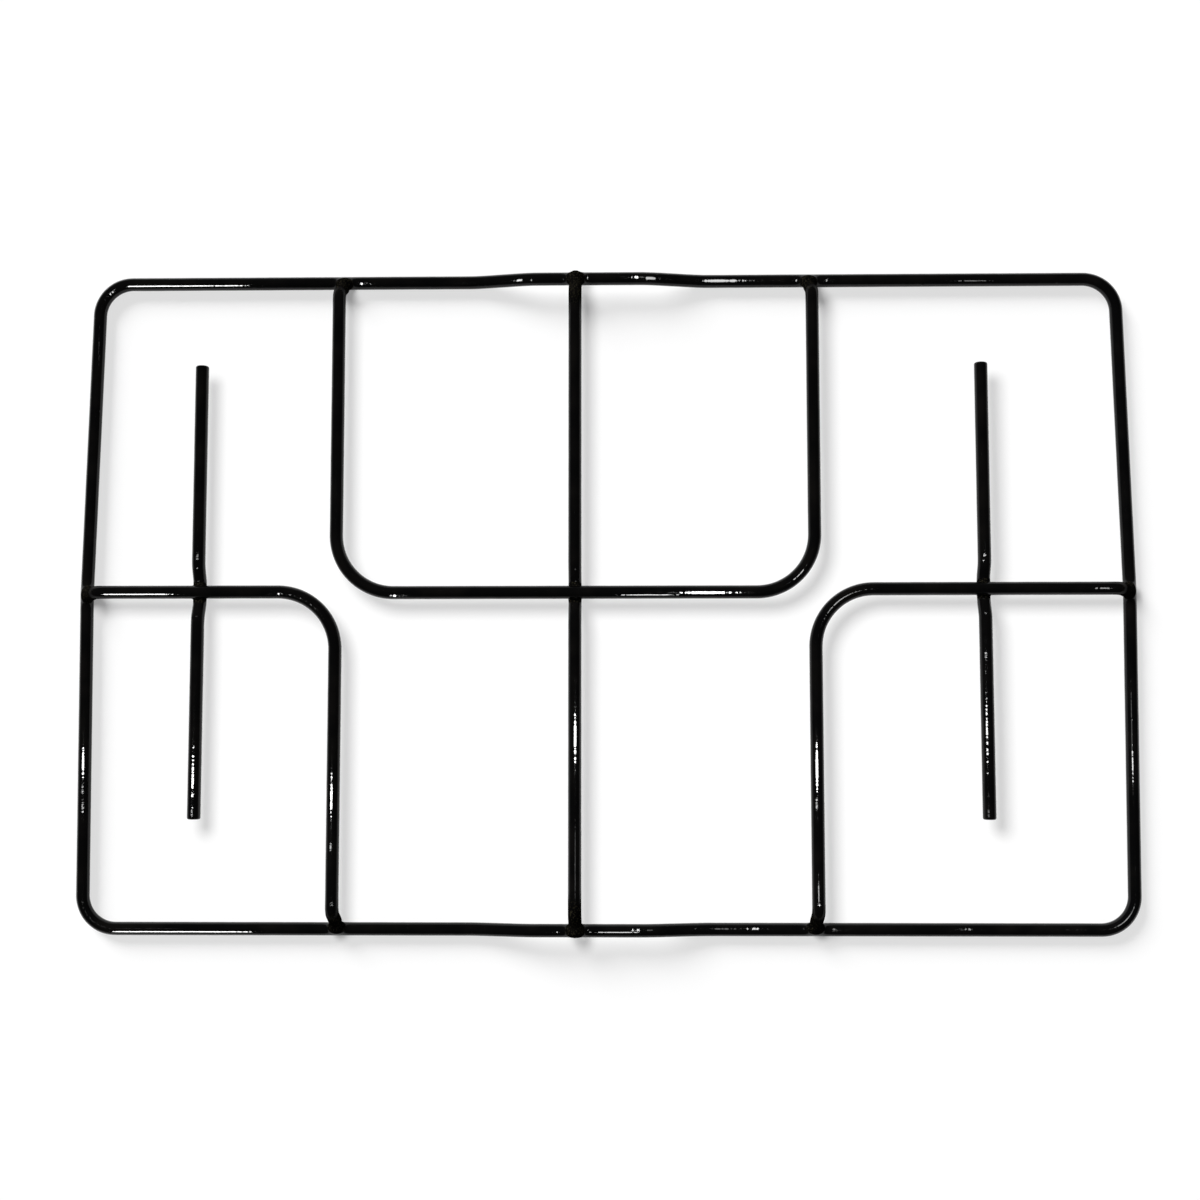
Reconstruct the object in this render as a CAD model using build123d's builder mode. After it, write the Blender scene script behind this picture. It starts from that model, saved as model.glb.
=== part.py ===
from build123d import *
import os

# Hob pan support for two burners: round steel wires, bent, cross-welded and enamelled.
# The outer frame lies on the hob. The bars stand above it, with their ends bent down onto its rails.
# Frame: origin at the middle of the underside, X to the right, Y to the rear, Z up.

# Driving sizes in millimetres. Radii are those of the wire's centre line.
wire_diameter = 5.5  # 5 mm steel with its coat of enamel
overall_height = 20.0  # from the hob up to the plane that pans stand on
frame_length = 445.0  # outside, left to right, at the arms
frame_width = 279.0  # outside, front to rear
frame_corner_radius = 14.0
rear_corner_inset = 3.0  # the side rails bow out from the corners to the arms welded on them
front_corner_inset = 1.5
side_bend_radius = 200.0

# Step that lifts the middle of the front and rear rails
step_rise = 5.0
step_middle_x = -7.0
step_top_length = 50.0
step_ramp_length = 23.0
step_bend_radius = 40.0

# Burners, each with bars that point at its middle from four sides
burner_pitch = 198.0
burner_middle_x = -12.4  # half way between the burners, where the centre bar lies
u_run_y = 2.2  # cross run of the U-shaped bar
left_arm_y = 2.6
right_arm_y = 3.4
bar_bend_radius = 24.0

# Fingers, free at both ends, between the side rails and the elbow bars
finger_length = 188.5
finger_middle_y = 3.4
finger_shift = 3.0  # towards the side rail from half way

# Welded ends and crossings
weld_sink = 1.0  # how far the end of a bar settles into the rail below it
cross_sink = 2.5  # how far a bar settles into the bar that crosses over it
end_setback = 2.0  # from a rail's outer side back to the end of a bar lying on it
centre_setback = 0.5  # the same at the centre bar
end_foot_length = 3.2  # level foot of a bar, in from the rail's centre line
end_slope_run = 5.0  # level length of the slope up from the foot
centre_slope_run = 4.0  # the same at the centre bar, whose rails are higher
end_bend_radius = 4.5
dip_floor_length = 9.0  # level floor of a dip, below the wire that crosses it
dip_slope_run = 6.5  # level length of a dip's slope
dip_bend_radius = 10.0
end_rounding = 0.8  # enamel rounds the edge of each cut end

# Levels of the wires' centre lines
rail_z = wire_diameter / 2
step_z = rail_z + step_rise
bar_z = overall_height - wire_diameter / 2
seat_rise = wire_diameter - weld_sink  # from a rail up to the foot of a bar welded on it
dip_depth = wire_diameter - cross_sink  # from a bar down to the floor of a dip

# Places that follow from the sizes
rail_x = (frame_length - wire_diameter) / 2
rail_y = (frame_width - wire_diameter) / 2
rear_corner_x = rail_x - rear_corner_inset
front_corner_x = rail_x - front_corner_inset
left_leg_x = burner_middle_x - burner_pitch / 2
right_leg_x = burner_middle_x + burner_pitch / 2
left_finger_x = (left_leg_x - rail_x) / 2 - finger_shift
right_finger_x = (right_leg_x + rail_x) / 2 + finger_shift


def end_on_rail(rail, support_z, setback, slope_run):
    """Places along a bar, and levels, from its tip on a rail in to the top of its slope."""
    outward = 1 if rail > 0 else -1
    tip = rail + outward * (wire_diameter / 2 - setback)
    foot = rail - outward * end_foot_length
    foot_z = support_z + seat_rise
    return [(tip, foot_z), (foot, foot_z), (foot - outward * slope_run, bar_z)]


def dip_below(crossing):
    """Places along a bar, and levels, of its dip below the wire that crosses it, rear to front."""
    floor_half = dip_floor_length / 2
    mouth_half = floor_half + dip_slope_run
    floor_z = bar_z - dip_depth
    return [
        (crossing + mouth_half, bar_z),
        (crossing + floor_half, floor_z),
        (crossing - floor_half, floor_z),
        (crossing - mouth_half, bar_z),
    ]


def stepped_rail():
    """Places along a front or rear rail, and levels, of its lifted middle, left to right."""
    top_half = step_top_length / 2
    foot_half = top_half + step_ramp_length
    return [
        (step_middle_x - foot_half, rail_z),
        (step_middle_x - top_half, step_z),
        (step_middle_x + top_half, step_z),
        (step_middle_x + foot_half, rail_z),
    ]


def along_x(places, y):
    """Points of a run that goes left and right."""
    return [(x, y, z) for x, z in places]


def along_y(places, x):
    """Points of a run that goes front and rear."""
    return [(x, y, z) for y, z in places]


def draw_wire(points, bends, close=False):
    """Sweeps the wire's round section along straight runs joined by bends."""
    with BuildLine() as route:
        FilletPolyline(*points, radius=bends, close=close)
    with BuildSketch(Plane(origin=route.line @ 0, z_dir=route.line % 0)) as section:
        Circle(wire_diameter / 2)
    sweep(sections=section.sketch, path=route.line)


def round_ends(bar):
    """Rounds the edges of a bar's two cut ends."""
    fillet(bar.faces().filter_by(GeomType.PLANE).edges(), end_rounding)


# Bends in the order in which a wire meets them
end_bends = [end_bend_radius] * 2
dip_bends = [dip_bend_radius] * 4
rail_bends = [frame_corner_radius, *[step_bend_radius] * 4, frame_corner_radius, side_bend_radius]

# Ends of the bars on the four rails, each from its tip inwards
left_end = end_on_rail(-rail_x, rail_z, end_setback, end_slope_run)
right_end = end_on_rail(rail_x, rail_z, end_setback, end_slope_run)
front_end = end_on_rail(-rail_y, rail_z, end_setback, end_slope_run)
rear_end = end_on_rail(rail_y, rail_z, end_setback, end_slope_run)
centre_front_end = end_on_rail(-rail_y, step_z, centre_setback, centre_slope_run)
centre_rear_end = end_on_rail(rail_y, step_z, centre_setback, centre_slope_run)

# Outer frame: one closed loop with a lifted middle in its front and rear rails and bowed side rails
with BuildPart() as outer_frame:
    draw_wire(
        [
            (-front_corner_x, -rail_y, rail_z),
            *along_x(stepped_rail(), -rail_y),
            (front_corner_x, -rail_y, rail_z),
            (rail_x, right_arm_y, rail_z),
            (rear_corner_x, rail_y, rail_z),
            *along_x(reversed(stepped_rail()), rail_y),
            (-rear_corner_x, rail_y, rail_z),
            (-rail_x, left_arm_y, rail_z),
        ],
        rail_bends * 2,
        close=True,
    )

# Rear bar: a U with its two legs on the rear rail and its cross run between the burners
with BuildPart() as rear_u_bar:
    draw_wire(
        [
            *along_y(rear_end, left_leg_x),
            (left_leg_x, u_run_y, bar_z),
            (right_leg_x, u_run_y, bar_z),
            *along_y(reversed(rear_end), right_leg_x),
        ],
        [*end_bends, bar_bend_radius, bar_bend_radius, *end_bends],
    )
    round_ends(rear_u_bar)
    add(outer_frame.part, mode=Mode.SUBTRACT)

# Left elbow bar: from the left rail in to the left burner and forward to the front rail
with BuildPart() as left_elbow_bar:
    draw_wire(
        [
            *along_x(left_end, left_arm_y),
            (left_leg_x, left_arm_y, bar_z),
            *along_y(reversed(front_end), left_leg_x),
        ],
        [*end_bends, bar_bend_radius, *end_bends],
    )
    round_ends(left_elbow_bar)
    add(outer_frame.part, mode=Mode.SUBTRACT)

# Right elbow bar: from the right rail in to the right burner and forward to the front rail
with BuildPart() as right_elbow_bar:
    draw_wire(
        [
            *along_x(right_end, right_arm_y),
            (right_leg_x, right_arm_y, bar_z),
            *along_y(reversed(front_end), right_leg_x),
        ],
        [*end_bends, bar_bend_radius, *end_bends],
    )
    round_ends(right_elbow_bar)
    add(outer_frame.part, mode=Mode.SUBTRACT)

# Centre bar: between the lifted middles of both rails, dipping below the U's cross run
with BuildPart() as centre_bar:
    draw_wire(
        along_y([*centre_rear_end, *dip_below(u_run_y), *reversed(centre_front_end)], burner_middle_x),
        [*end_bends, *dip_bends, *end_bends],
    )
    round_ends(centre_bar)
    add(outer_frame.part, mode=Mode.SUBTRACT)
    add(rear_u_bar.part, mode=Mode.SUBTRACT)

# Tips of both fingers
finger_rear_tip = (finger_middle_y + finger_length / 2, bar_z)
finger_front_tip = (finger_middle_y - finger_length / 2, bar_z)

# Left finger bar: straight, dipping below the left elbow bar's arm
with BuildPart() as left_finger_bar:
    draw_wire(
        along_y([finger_rear_tip, *dip_below(left_arm_y), finger_front_tip], left_finger_x),
        dip_bends,
    )
    round_ends(left_finger_bar)
    add(left_elbow_bar.part, mode=Mode.SUBTRACT)

# Right finger bar: straight, dipping below the right elbow bar's arm
with BuildPart() as right_finger_bar:
    draw_wire(
        along_y([finger_rear_tip, *dip_below(right_arm_y), finger_front_tip], right_finger_x),
        dip_bends,
    )
    round_ends(right_finger_bar)
    add(right_elbow_bar.part, mode=Mode.SUBTRACT)

# One STEP file for each wire, named for its node
os.makedirs("parts", exist_ok=True)
nodes = {
    "outer_frame": outer_frame,
    "rear_u_bar": rear_u_bar,
    "left_elbow_bar": left_elbow_bar,
    "right_elbow_bar": right_elbow_bar,
    "centre_bar": centre_bar,
    "left_finger_bar": left_finger_bar,
    "right_finger_bar": right_finger_bar,
}
for name, node in nodes.items():
    node.part.label = name
    export_step(node.part, f"parts/{name}.step")
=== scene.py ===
"""Looks of a hob pan support: seven bent and welded wires under one coat of black enamel.

Each wire is a round section carried along straight runs and bends. Its places come from the solids
of the frame, and what a solid's box doesn't tell is a property with its own default.
"""

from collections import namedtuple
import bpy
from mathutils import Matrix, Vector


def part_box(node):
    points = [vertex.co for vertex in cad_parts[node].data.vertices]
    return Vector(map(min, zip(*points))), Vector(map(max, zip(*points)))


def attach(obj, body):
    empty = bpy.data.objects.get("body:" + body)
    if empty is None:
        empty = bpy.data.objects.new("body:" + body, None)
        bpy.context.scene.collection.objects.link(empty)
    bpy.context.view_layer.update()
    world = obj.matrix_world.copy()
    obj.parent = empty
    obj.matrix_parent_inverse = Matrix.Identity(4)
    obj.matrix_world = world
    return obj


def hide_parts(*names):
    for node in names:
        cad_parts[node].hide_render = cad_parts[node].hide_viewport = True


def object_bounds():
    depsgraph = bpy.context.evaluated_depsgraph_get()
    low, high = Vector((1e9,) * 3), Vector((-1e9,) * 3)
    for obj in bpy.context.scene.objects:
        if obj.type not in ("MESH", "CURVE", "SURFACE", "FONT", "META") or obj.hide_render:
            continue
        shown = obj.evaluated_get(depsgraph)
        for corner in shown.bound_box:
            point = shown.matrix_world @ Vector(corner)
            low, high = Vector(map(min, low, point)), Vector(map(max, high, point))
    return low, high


bl_info = {
    "name": "Hob Pan Support",
    "version": (1, 0, 0),
    "blender": (4, 5, 0),
    "location": "View3D > Sidebar > Pan Support",
    "description": "Enamelled wires of a two burner pan support, on a white studio floor",
    "category": "Add Mesh",
}

import bpy
import numpy as np
from bpy.props import FloatProperty, FloatVectorProperty, PointerProperty
from mathutils import Euler, Matrix, Vector

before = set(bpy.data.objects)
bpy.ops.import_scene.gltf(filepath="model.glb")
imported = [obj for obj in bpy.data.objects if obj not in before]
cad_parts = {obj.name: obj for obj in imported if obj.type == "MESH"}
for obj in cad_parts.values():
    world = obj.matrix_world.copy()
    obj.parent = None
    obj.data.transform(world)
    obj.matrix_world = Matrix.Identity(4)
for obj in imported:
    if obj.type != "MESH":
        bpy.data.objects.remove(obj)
cad_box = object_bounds()

MILLIMETRE = 0.001
DEGREE = np.pi / 180
UP = np.array([0.0, 0.0, 1.0])
WELD_NEARNESS = "weld_nearness"
ALONG_WIRE = "along_wire"

# How finely a wire is divided: sides of its section, distance between rings, turn from ring to ring in
# a bend, distance at a weld and its growth with the way from there, and rings of a cut end
AROUND = 48
RING_SPACING = 1.5 * MILLIMETRE
RING_TURN = 4 * DEGREE
WELD_RING_SPACING = 0.3 * MILLIMETRE
WELD_RING_GROWTH = 0.12
CAP_RINGS = 9
FACE_RINGS = 3
SAMPLE_STEP = 0.1 * MILLIMETRE
LEAST_CURVATURE = 1e-6

# Welds: pieces of the other wire's line and how far from the weld they go, steps by which the skin is
# found, share of each step that is taken, most that the skin stands out as a share of the flow, and
# the power by which the flow fades towards the middle of a cut face
SUPPORT_STEP = 1.0 * MILLIMETRE
SUPPORT_REACH = 14 * MILLIMETRE
FLOW_STEPS = 14
FLOW_PACE = 0.7
FLOW_LIMIT = 0.4
FACE_FADE = 4

# How steeply the matt coat about a weld ends
WELD_STEEPNESS = 3.0

# Slow waves of the coat: length along the wire in metres, and how many there are about it
COAT_WAVES = ((0.041, 1), (0.017, 2), (0.0075, 3))

# Swells of the coat, as multiples of its fine ripples
SWELL_WIDTH = 5
SWELL_DEPTH = 3

# Where a pattern of the coat starts and ends its rise, in the noise that it is made from
THIN_EASE = (0.35, 0.75)
DULL_EASE = (0.30, 0.80)
SPECK_EASE = (0.55, 0.68)

# Where a nib ends, as a share of the distance between nibs
NIB_REACH = 0.12

# Floor: half its side, and its level, which is just below the frame's underside
FLOOR_HALF = 4.0
FLOOR_LEVEL = -0.1 * MILLIMETRE

# Heights between which the surroundings go over from the horizon to overhead
SKY_EASE = (0.08, 0.20)

# Where the camera stood, its turn in radians, its lens and sensor in mm and the nearest that it sees,
# for a square picture
CAMERA_PLACE = (10.13 * MILLIMETRE, -54.08 * MILLIMETRE, 674.71 * MILLIMETRE)
CAMERA_TURN = (0.08051, 0.01852, -0.00059)
CAMERA_LENS = 48.0
CAMERA_SENSOR = 36.0
CAMERA_NEAR = 0.01

# Where the key lamp hangs, and the way that the low light goes
KEY_PLACE = (-0.183, 0.171, 0.675)
LOW_HEADING = (1.24, -1.50, -1.0)

# Spread of a streak's lamp: the least, the margin over the turn that the streak takes in, and the
# length, as a share of its distance, from which a lamp keeps to the least
LEAST_SPREAD = 20 * DEGREE
SPREAD_MARGIN = 1.5
LONG_LAMP = 0.25

# Bright streaks: the wire, its heading there in degrees from +X, the middle of the streak on its
# centre line, how far round to the right of the heading it lies from the line nearest the camera,
# in degrees, the streak's length and width, how far away the lamp hangs, in mm, and the lamp's share
# of the full glow
Streak = namedtuple("Streak", "wire heading middle lean length width distance share")
STREAKS = (
    ("outer_frame", 90, (-219.0, -67.7, 2.75), -15.0, 9.2, 0.90, 80, 1.0),
    ("left_finger_bar", 90, (-168.6, -73.6, 17.25), -15.6, 10.7, 0.90, 200, 1.0),
    ("left_elbow_bar", 90, (-111.4, -81.3, 17.25), -14.7, 12.3, 0.90, 100, 1.0),
    ("centre_bar", 90, (-12.4, -57.3, 17.25), 3.4, 15.6, 1.00, 110, 1.0),
    ("right_elbow_bar", 90, (86.6, -69.9, 17.25), -3.4, 17.3, 1.00, 80, 1.0),
    ("right_finger_bar", 90, (156.2, -54.5, 17.25), -7.7, 12.3, 0.85, 350, 0.6),
    ("outer_frame", 90, (219.0, -68.7, 2.75), 0.9, 9.2, 0.54, 120, 0.4),
    ("outer_frame", 90, (219.0, -56.7, 2.75), -2.6, 36.0, 0.40, 100, 0.04),
    ("outer_frame", 0, (-200.3, 136.75, 2.75), 14.1, 88.0, 1.25, 80, 1.0),
    ("outer_frame", 0, (-177.3, -136.75, 2.75), 29.3, 58.8, 0.80, 80, 1.0),
    ("left_elbow_bar", 0, (-193.6, 2.6, 17.25), 18.3, 27.1, 0.70, 80, 1.0),
    ("rear_u_bar", 0, (41.7, 2.2, 17.25), 6.0, 18.9, 1.10, 100, 1.0),
    ("rear_u_bar", 0, (18.2, 2.2, 17.25), 24.7, 21.4, 0.35, 80, 0.6),
    ("outer_frame", 0, (5.1, -136.75, 7.75), 14.0, 16.7, 0.45, 60, 0.4),
    ("outer_frame", 0, (48.3, 136.75, 2.75), -5.3, 20.2, 1.20, 120, 0.3),
    ("outer_frame", 0, (41.5, -136.75, 2.75), -4.4, 20.0, 0.60, 150, 0.06),
    ("rear_u_bar", 45, (79.6, 8.7, 17.25), 6.9, 9.0, 0.40, 80, 0.3),
    ("right_elbow_bar", 45, (96.2, -3.3, 17.25), 5.1, 8.2, 0.40, 80, 0.2),
    ("outer_frame", 45, (212.1, -131.4, 2.75), 5.3, 16.8, 0.40, 80, 0.15),
    ("outer_frame", 0, (-104.9, 136.75, 2.75), 3.5, 1.7, 1.00, 50, 0.8),
    ("outer_frame", 0, (-53.6, 136.75, 3.08), 3.5, 5.0, 1.00, 50, 0.8),
    ("outer_frame", 0, (-37.5, 136.75, 6.53), 7.0, 2.1, 1.00, 50, 0.2),
    ("outer_frame", 0, (14.0, 136.75, 7.75), -13.1, 2.5, 1.30, 50, 0.8),
    ("outer_frame", 0, (20.0, 136.75, 7.31), -13.2, 2.1, 0.65, 50, 0.08),
    ("outer_frame", 0, (91.0, 136.75, 2.75), -5.3, 2.1, 1.30, 50, 0.8),
    ("outer_frame", 0, (155.6, 136.75, 2.75), 7.9, 10.9, 0.40, 80, 0.08),
    ("outer_frame", 0, (-17.1, -136.75, 7.75), 14.9, 2.9, 0.80, 50, 0.5),
    ("outer_frame", 0, (13.8, -136.75, 7.75), -5.2, 1.3, 1.15, 50, 0.6),
    ("outer_frame", 0, (61.4, -136.75, 2.75), -5.3, 1.7, 1.00, 50, 0.4),
    ("outer_frame", 0, (91.5, -136.75, 2.75), 2.6, 2.1, 1.30, 50, 0.8),
    ("outer_frame", 0, (148.3, -136.75, 2.75), -3.5, 2.1, 1.00, 50, 0.15),
    ("right_elbow_bar", 0, (204.3, 3.4, 17.25), 0.0, 4.1, 0.65, 60, 0.15),
    ("rear_u_bar", 0, (-87.6, 2.2, 17.25), 27.6, 3.3, 1.00, 50, 1.0),
    ("left_elbow_bar", 0, (-132.2, 2.6, 17.25), 17.4, 3.3, 1.00, 50, 1.0),
    ("left_elbow_bar", 90, (-111.4, -126.5, 17.25), -1.7, 1.2, 1.30, 50, 0.3),
    ("right_elbow_bar", 90, (86.6, -125.7, 17.25), 1.7, 1.6, 1.00, 50, 0.6),
    ("left_finger_bar", 90, (-168.6, 15.8, 17.25), -13.0, 1.2, 1.20, 50, 0.15),
    ("right_finger_bar", 90, (156.2, 15.8, 17.25), 2.6, 1.2, 1.20, 50, 0.6),
    ("right_finger_bar", 90, (156.2, -24.5, 17.25), -3.4, 1.2, 1.00, 50, 0.5),
    ("left_finger_bar", 90, (-168.6, -88.5, 17.25), -17.4, 2.5, 0.80, 50, 0.2),
    ("right_finger_bar", 90, (156.2, -88.5, 17.25), -8.0, 2.5, 0.80, 50, 0.06),
    ("outer_frame", 90, (-218.7, -79.4, 2.75), -16.0, 1.3, 1.01, 50, 0.3),
    ("outer_frame", 90, (-218.6, -86.1, 2.75), -13.2, 1.3, 1.01, 50, 0.4),
    ("left_elbow_bar", 90, (-111.4, -101.7, 17.25), -15.6, 1.2, 0.99, 50, 0.3),
    ("right_elbow_bar", 90, (86.6, -85.1, 17.25), -8.6, 1.6, 0.99, 50, 0.3),
    ("right_elbow_bar", 90, (86.6, -119.8, 17.25), 0.0, 7.4, 0.49, 60, 0.2),
    ("centre_bar", 90, (-12.4, -108.0, 17.25), 4.3, 28.8, 0.33, 80, 0.03),
    ("outer_frame", 45, (-214.1, 132.8, 2.75), 0.0, 1.7, 1.01, 50, 0.4),
    ("outer_frame", 90, (-218.6, -126.6, 2.75), -3.5, 1.7, 1.01, 50, 0.3),
)

SIDES = ("left", "right")
BARS = ("rear_u_bar", "left_elbow_bar", "right_elbow_bar", "centre_bar", "left_finger_bar",
        "right_finger_bar")
finger_low, finger_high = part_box("left_finger_bar")


def amount(name, description, default):
    """A property that holds a plain number."""
    return FloatProperty(name=name, description=description, default=default)


def metres(name, description, default):
    """A property that holds a length in metres."""
    return FloatProperty(
        name=name, description=description, default=default, unit="LENGTH", subtype="DISTANCE"
    )


def fraction(name, description, default):
    """A property that holds a share from 0 to 1."""
    return FloatProperty(
        name=name, description=description, default=default, min=0.0, max=1.0, subtype="FACTOR"
    )


def tint(name, description, default):
    """A property that holds a linear colour."""
    return FloatVectorProperty(
        name=name, description=description, default=default, min=0.0, max=1.0, subtype="COLOR"
    )


class PanSupportWires(bpy.types.PropertyGroup):
    """Sizes of the wires that their boxes don't tell. Radii are those of the centre line."""

    wire_diameter: metres("Wire diameter", "Steel and enamel together", finger_high.x - finger_low.x)
    corner_radius: metres("Corner radius", "Bend at each corner of the frame", 0.014)
    rear_corner_inset: metres("Rear inset", "How far the rear corners stand in from the arms", 0.003)
    front_corner_inset: metres("Front inset", "The same at the front corners", 0.0015)
    side_bend_radius: metres("Side bend", "Slight bend of a side rail at its arm", 0.200)
    step_middle_x: metres("Step middle", "Middle of the lifted part of the rails", -0.007)
    step_top_length: metres("Step top", "Level length of the lifted part", 0.050)
    step_ramp_length: metres("Step ramp", "Level length of each ramp", 0.023)
    step_bend_radius: metres("Step bend", "Bend at each end of a ramp", 0.040)
    bar_bend_radius: metres("Bar bend", "Bend of the U and the elbows", 0.024)
    weld_sink: metres("Weld sink", "How far the end of a bar settles into its rail", 0.001)
    end_foot_length: metres("Foot length", "Level foot, in from the rail's centre line", 0.0032)
    end_slope_run: metres("End slope", "Level length of the slope up from a foot", 0.005)
    centre_slope_run: metres("Centre slope", "The same at the centre bar", 0.004)
    end_bend_radius: metres("End bend", "Bend at each end of that slope", 0.0045)
    dip_floor_length: metres("Dip floor", "Level floor of a dip below a crossing wire", 0.009)
    dip_slope_run: metres("Dip slope", "Level length of a dip's slope", 0.0065)
    dip_bend_radius: metres("Dip bend", "Bend at each end of a dip's slope", 0.010)
    end_rounding: metres("End rounding", "Rounding of the edge of a cut end", 0.0008)
    weld_rounding: metres("Weld rounding", "The same at an end that is melted onto a rail", 0.0024)
    weld_flow: metres("Weld flow", "Reach of the metal that fills a corner on a rail", 0.0040)
    cross_flow: metres("Cross flow", "The same where two bars cross", 0.0014)
    weld_reach: metres("Weld reach", "How far from a weld the coat is matt", 0.0020)
    end_reach: metres("End reach", "The same up a bar from the frame", 0.0185)
    enamel_wave: metres("Enamel wave", "Depth of the coat's slow unevenness", 0.00003)


class PanSupportEnamel(bpy.types.PropertyGroup):
    """Finish of the enamel."""

    colour: tint("Colour", "Black of the enamel", (0.0012, 0.0012, 0.0013))
    thin_colour: tint("Thin colour", "Black where the coat is thin", (0.0030, 0.0027, 0.0025))
    weld_colour: tint("Weld colour", "Specks of the coat about a weld", (0.018, 0.016, 0.010))
    roughness: fraction("Roughness", "Roughness of the smoothest places", 0.05)
    roughness_range: fraction("Roughness range", "How much rougher the dullest places are", 0.04)
    ior: amount("IOR", "Refraction, which sets how much the coat mirrors", 1.30)
    thin_width: metres("Thin width", "Width of the places where the coat is thin", 0.012)
    dull_width: metres("Dull width", "Width of the dull places", 0.003)
    speck_width: metres("Speck width", "Width of the specks about a weld", 0.0006)
    peel_width: metres("Peel width", "Width of the fine ripples of the coat", 0.0010)
    peel_depth: metres("Peel depth", "Depth of the fine ripples", 0.000014)
    ring_width: metres("Ring width", "Width of the faint rings about the wire", 0.0025)
    ring_depth: metres("Ring depth", "Depth of those rings", 0.000050)
    nib_width: metres("Nib spacing", "Distance between specks under the coat", 0.006)
    nib_depth: metres("Nib height", "Height of those specks", 0.00006)
    pit_width: metres("Pit width", "Width of the pits about a weld", 0.0007)
    pit_depth: metres("Pit depth", "Depth of those pits", 0.00006)


class PanSupportStage(bpy.types.PropertyGroup):
    """Floor, lamps and surroundings."""

    floor_colour: tint("Floor colour", "White of the floor", (0.64, 0.64, 0.64))
    floor_glow: fraction("Floor glow", "What lifts the floor to white", 0.285)
    sky_top: fraction("Sky top", "Brightness overhead", 0.05)
    sky_edge: fraction("Sky edge", "Brightness at the horizon", 0.4)
    key_watts: FloatProperty(
        name="Key",
        description="Soft lamp beside the camera, which throws the bars' shadows",
        default=25.0,
        unit="POWER",
    )
    key_radius: metres("Key radius", "Radius of that lamp, which softens the shadows", 0.130)
    low_strength: amount("Low light", "Soft light from the rear left, for the frame's shadow", 3.2)
    low_angle: FloatProperty(
        name="Low angle", description="Width of that light", default=28 * DEGREE, subtype="ANGLE"
    )
    streak_glow: amount("Streaks", "Brightness of the lamps that the wires mirror", 165.0)


class Layout:
    """Centre lines of the wires: a solid's box less the wire's radius."""

    def __init__(self, sizes):
        radius = sizes.wire_diameter / 2
        low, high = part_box("outer_frame")
        self.rail_x = high.x - radius
        self.rail_y = high.y - radius
        self.rail_z = low.z + radius
        self.step_z = high.z - radius
        low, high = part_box("rear_u_bar")
        self.leg_x = {"left": low.x + radius, "right": high.x - radius}
        self.u_run_y = low.y + radius
        self.rear_tip = high.y
        self.bar_z = high.z - radius
        low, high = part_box("centre_bar")
        self.centre_x = (low.x + high.x) / 2
        self.centre_tips = (high.y, low.y)
        left_low, left_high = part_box("left_elbow_bar")
        right_low, right_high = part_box("right_elbow_bar")
        self.front_tip = left_low.y
        self.side_rail = {"left": -self.rail_x, "right": self.rail_x}
        self.side_tip = {"left": left_low.x, "right": right_high.x}
        self.arm_y = {"left": left_high.y - radius, "right": right_high.y - radius}
        fingers = {side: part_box(side + "_finger_bar") for side in SIDES}
        self.finger_x = {side: (low.x + high.x) / 2 for side, (low, high) in fingers.items()}
        self.finger_tips = {side: (high.y, low.y) for side, (low, high) in fingers.items()}
        self.dip_z = fingers["left"][0].z + radius
        self.seat_rise = sizes.wire_diameter - sizes.weld_sink


class Route:
    """A wire's centre line, as straight runs joined by arcs.

    Every stretch has a start, a heading, the direction that it bends to and a curvature, which is
    zero on a run. A distance t along it turns by phi = curvature * t, and the place there is
    start + heading * t * sinc(phi) + bend * t * sin(phi / 2) * sinc(phi / 2).
    """

    def __init__(self, points, bends, closed=False):
        corners = np.array(points, float)
        count = len(corners)
        turning = range(count) if closed else range(1, count - 1)
        starts, headings, sides, curvatures, lengths = [], [], [], [], []
        run_start = corners[0]
        if closed:
            run_start = self.arc_start(corners, count - 1, bends[-1])[3]
        for index, radius in zip(turning, bends):
            heading, side, arc_in, arc_out, turn = self.arc_start(corners, index, radius)
            starts += [run_start, arc_in]
            headings += [heading, heading]
            sides += [side, side]
            curvatures += [0.0, 1 / radius]
            lengths += [np.linalg.norm(arc_in - run_start), radius * turn]
            run_start = arc_out
        if not closed:
            last = corners[-1] - run_start
            starts.append(run_start)
            headings.append(last / np.linalg.norm(last))
            sides.append(np.zeros(3))
            curvatures.append(0.0)
            lengths.append(np.linalg.norm(last))
        self.closed = closed
        self.starts = np.array(starts)
        self.headings = np.array(headings)
        self.sides = np.array(sides)
        self.curvatures = np.array(curvatures)
        self.marks = np.concatenate([[0.0], np.cumsum(lengths)])
        self.length = self.marks[-1]

    @staticmethod
    def arc_start(corners, index, radius):
        """Heading before a corner, side that it bends to, where its arc starts and ends, and its turn."""
        corner = corners[index]
        before = corner - corners[index - 1]
        after = corners[(index + 1) % len(corners)] - corner
        heading = before / np.linalg.norm(before)
        leaving = after / np.linalg.norm(after)
        turn = np.arccos(heading @ leaving)
        side = leaving - heading * (heading @ leaving)
        side = side / np.linalg.norm(side)
        trim = radius * np.tan(turn / 2)
        return heading, side, corner - heading * trim, corner + leaving * trim, turn

    def at(self, distances):
        """Places, headings and curvatures at distances along the route."""
        stretch = np.searchsorted(self.marks, distances, side="right") - 1
        stretch = np.clip(stretch, 0, len(self.starts) - 1)
        along = distances - self.marks[stretch]
        curvature = self.curvatures[stretch]
        phi = curvature * along
        forward = along * np.sinc(phi / np.pi)
        sideways = along * np.sin(phi / 2) * np.sinc(phi / (2 * np.pi))
        heading = self.headings[stretch]
        side = self.sides[stretch]
        places = self.starts[stretch] + heading * forward[:, None] + side * sideways[:, None]
        turned = heading * np.cos(phi)[:, None] + side * np.sin(phi)[:, None]
        return places, turned, curvature


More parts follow.
